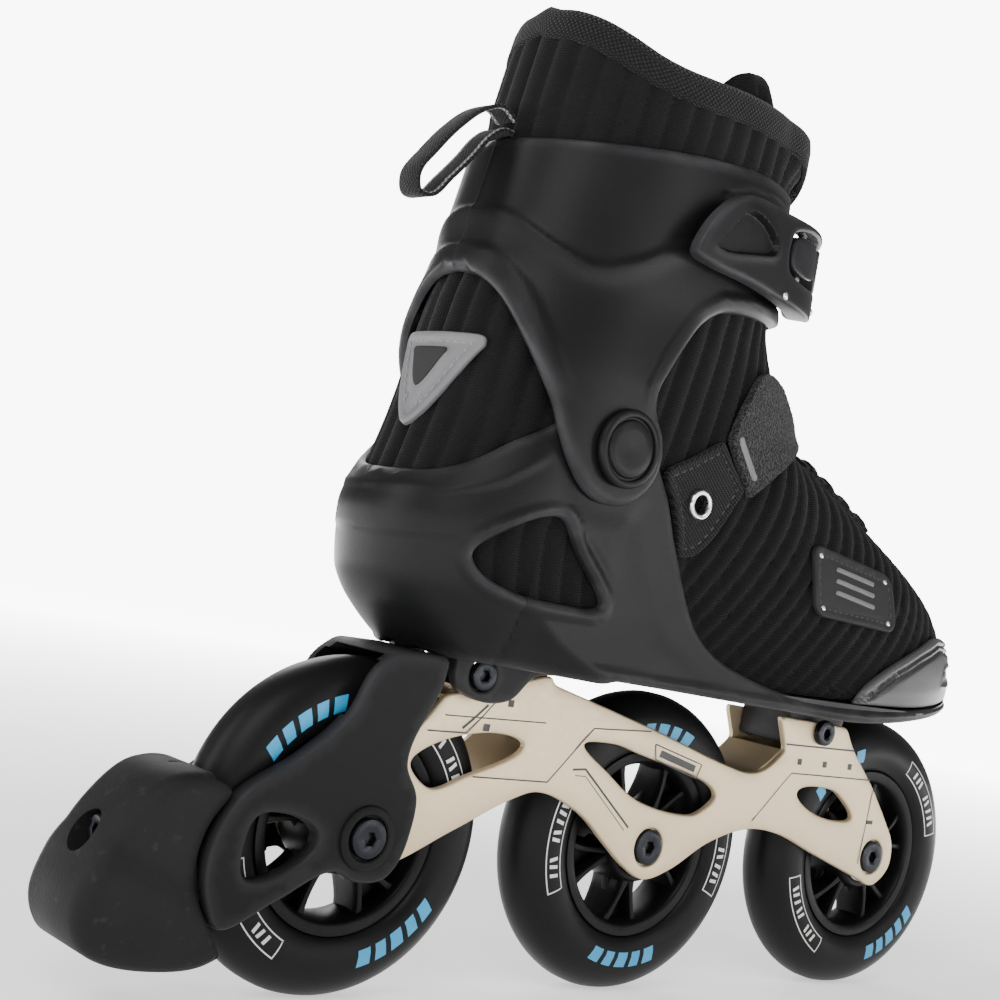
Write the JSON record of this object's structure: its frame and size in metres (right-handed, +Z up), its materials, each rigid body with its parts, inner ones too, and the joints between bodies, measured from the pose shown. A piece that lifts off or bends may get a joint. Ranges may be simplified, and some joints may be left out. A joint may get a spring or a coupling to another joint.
{
  "type": "inline skate",
  "caption": "Inline skate: a buckled, strapped boot with a pivoting cuff and padded liner on a windowed alloy frame with large rolling wheels and a heel brake.",
  "frame": {"origin": "on the ground, straight below the middle wheel's axle, in the skate's middle plane", "axes": "+X towards the toe, +Y towards the inner side with no buckle lever, +Z up"},
  "size_m": [0.4073, 0.1098, 0.3445],
  "materials": {
    "black_fabric": "ribbed padded textile",
    "black_polyurethane": "satin moulded polyurethane",
    "black_steel": "black oxide",
    "black_webbing": "woven",
    "brake_rubber": "matte moulded rubber",
    "bright_steel": "plain bright steel",
    "champagne_alloy": "satin anodised",
    "grey_rubber": "satin moulded rubber",
    "matte_black_plastic": "satin black moulding"
  },
  "bodies": {
    "boot": {"brake_bracket": "matte_black_plastic", "brake_pad": "brake_rubber", "brake_pad_bolt": "black_steel", "brake_pad_nut": "bright_steel", "footbed": "black_fabric", "frame": "champagne_alloy", "front_axle": "black_steel", "front_axle_nut": "black_steel", "front_bearing_sleeve": "bright_steel", "front_mount_bolt": "black_steel", "front_mount_nut": "black_steel", "inner_ankle_pivot": "matte_black_plastic", "inner_eyelet": "bright_steel", "inner_eyestay": "black_webbing", "inner_strap_tab": "black_webbing", "instep_strap": "black_webbing", "liner_foot": "black_fabric", "middle_axle": "black_steel", "middle_axle_nut": "black_steel", "middle_bearing_sleeve": "bright_steel", "outer_ankle_pivot": "matte_black_plastic", "outer_eyelet": "bright_steel", "outer_eyestay": "black_webbing", "outer_strap_tab": "black_webbing", "rear_axle": "black_steel", "rear_axle_nut": "black_steel", "rear_bearing_sleeve": "bright_steel", "rear_mount_bolt": "black_steel", "rear_mount_nut": "black_steel", "shell": "matte_black_plastic", "side_patch": "brake_rubber", "toe_cap": "matte_black_plastic", "tongue_foot": "black_fabric"},
    "ankle_cuff": {"cuff": "matte_black_plastic", "liner_collar": "black_fabric", "tongue_shin": "black_fabric", "buckle_base": "black_steel", "ratchet_housing": "matte_black_plastic", "lever_pin": "bright_steel", "ladder_strap": "matte_black_plastic", "ladder_screw": "black_steel", "buckle_rivet": "bright_steel", "rear_badge": "grey_rubber", "pull_loop": "black_webbing"},
    "closure_lever": {"buckle_lever": "matte_black_plastic", "pawl_pin": "bright_steel", "pawl_spring": "bright_steel"},
    "ratchet_pawl": {"pawl": "bright_steel"},
    "rear_wheel": {"rear_tyre": "black_polyurethane", "rear_core": "matte_black_plastic", "rear_outer_bearing": "bright_steel", "rear_inner_bearing": "bright_steel"},
    "middle_wheel": {"middle_tyre": "black_polyurethane", "middle_core": "matte_black_plastic", "middle_outer_bearing": "bright_steel", "middle_inner_bearing": "bright_steel"},
    "front_wheel": {"front_tyre": "black_polyurethane", "front_core": "matte_black_plastic", "front_outer_bearing": "bright_steel", "front_inner_bearing": "bright_steel"}
  },
  "joints": [
    {"name": "rear_wheel_spin", "type": "hinge", "parent": "boot", "child": "rear_wheel", "pos_m": [-0.1295, 0, 0.055], "axis": [0, 1, 0], "continuous": true},
    {"name": "middle_wheel_spin", "type": "hinge", "parent": "boot", "child": "middle_wheel", "pos_m": [0, 0, 0.055], "axis": [0, 1, 0], "continuous": true},
    {"name": "front_wheel_spin", "type": "hinge", "parent": "boot", "child": "front_wheel", "pos_m": [0.1295, 0, 0.055], "axis": [0, 1, 0], "continuous": true},
    {"name": "cuff_lean", "type": "hinge", "parent": "boot", "child": "ankle_cuff", "pos_m": [-0.0735, 0, 0.191], "axis": [0, 1, 0], "range_deg": [-3, 12]},
    {"name": "lever_open", "type": "hinge", "parent": "ankle_cuff", "child": "closure_lever", "pos_m": [0.01824, -0.02269, 0.2725], "axis": [0, 0, 1], "range_deg": [0, 90]},
    {"name": "pawl_swing", "type": "hinge", "parent": "closure_lever", "child": "ratchet_pawl", "pos_m": [-0.0016, -0.04111, 0.2725], "axis": [0, 0, 1], "range_deg": [-18, 0]}
  ],
  "couplings": [
    {"joint": "pawl_swing", "follows": "lever_open", "ratio": -0.2}
  ]
}
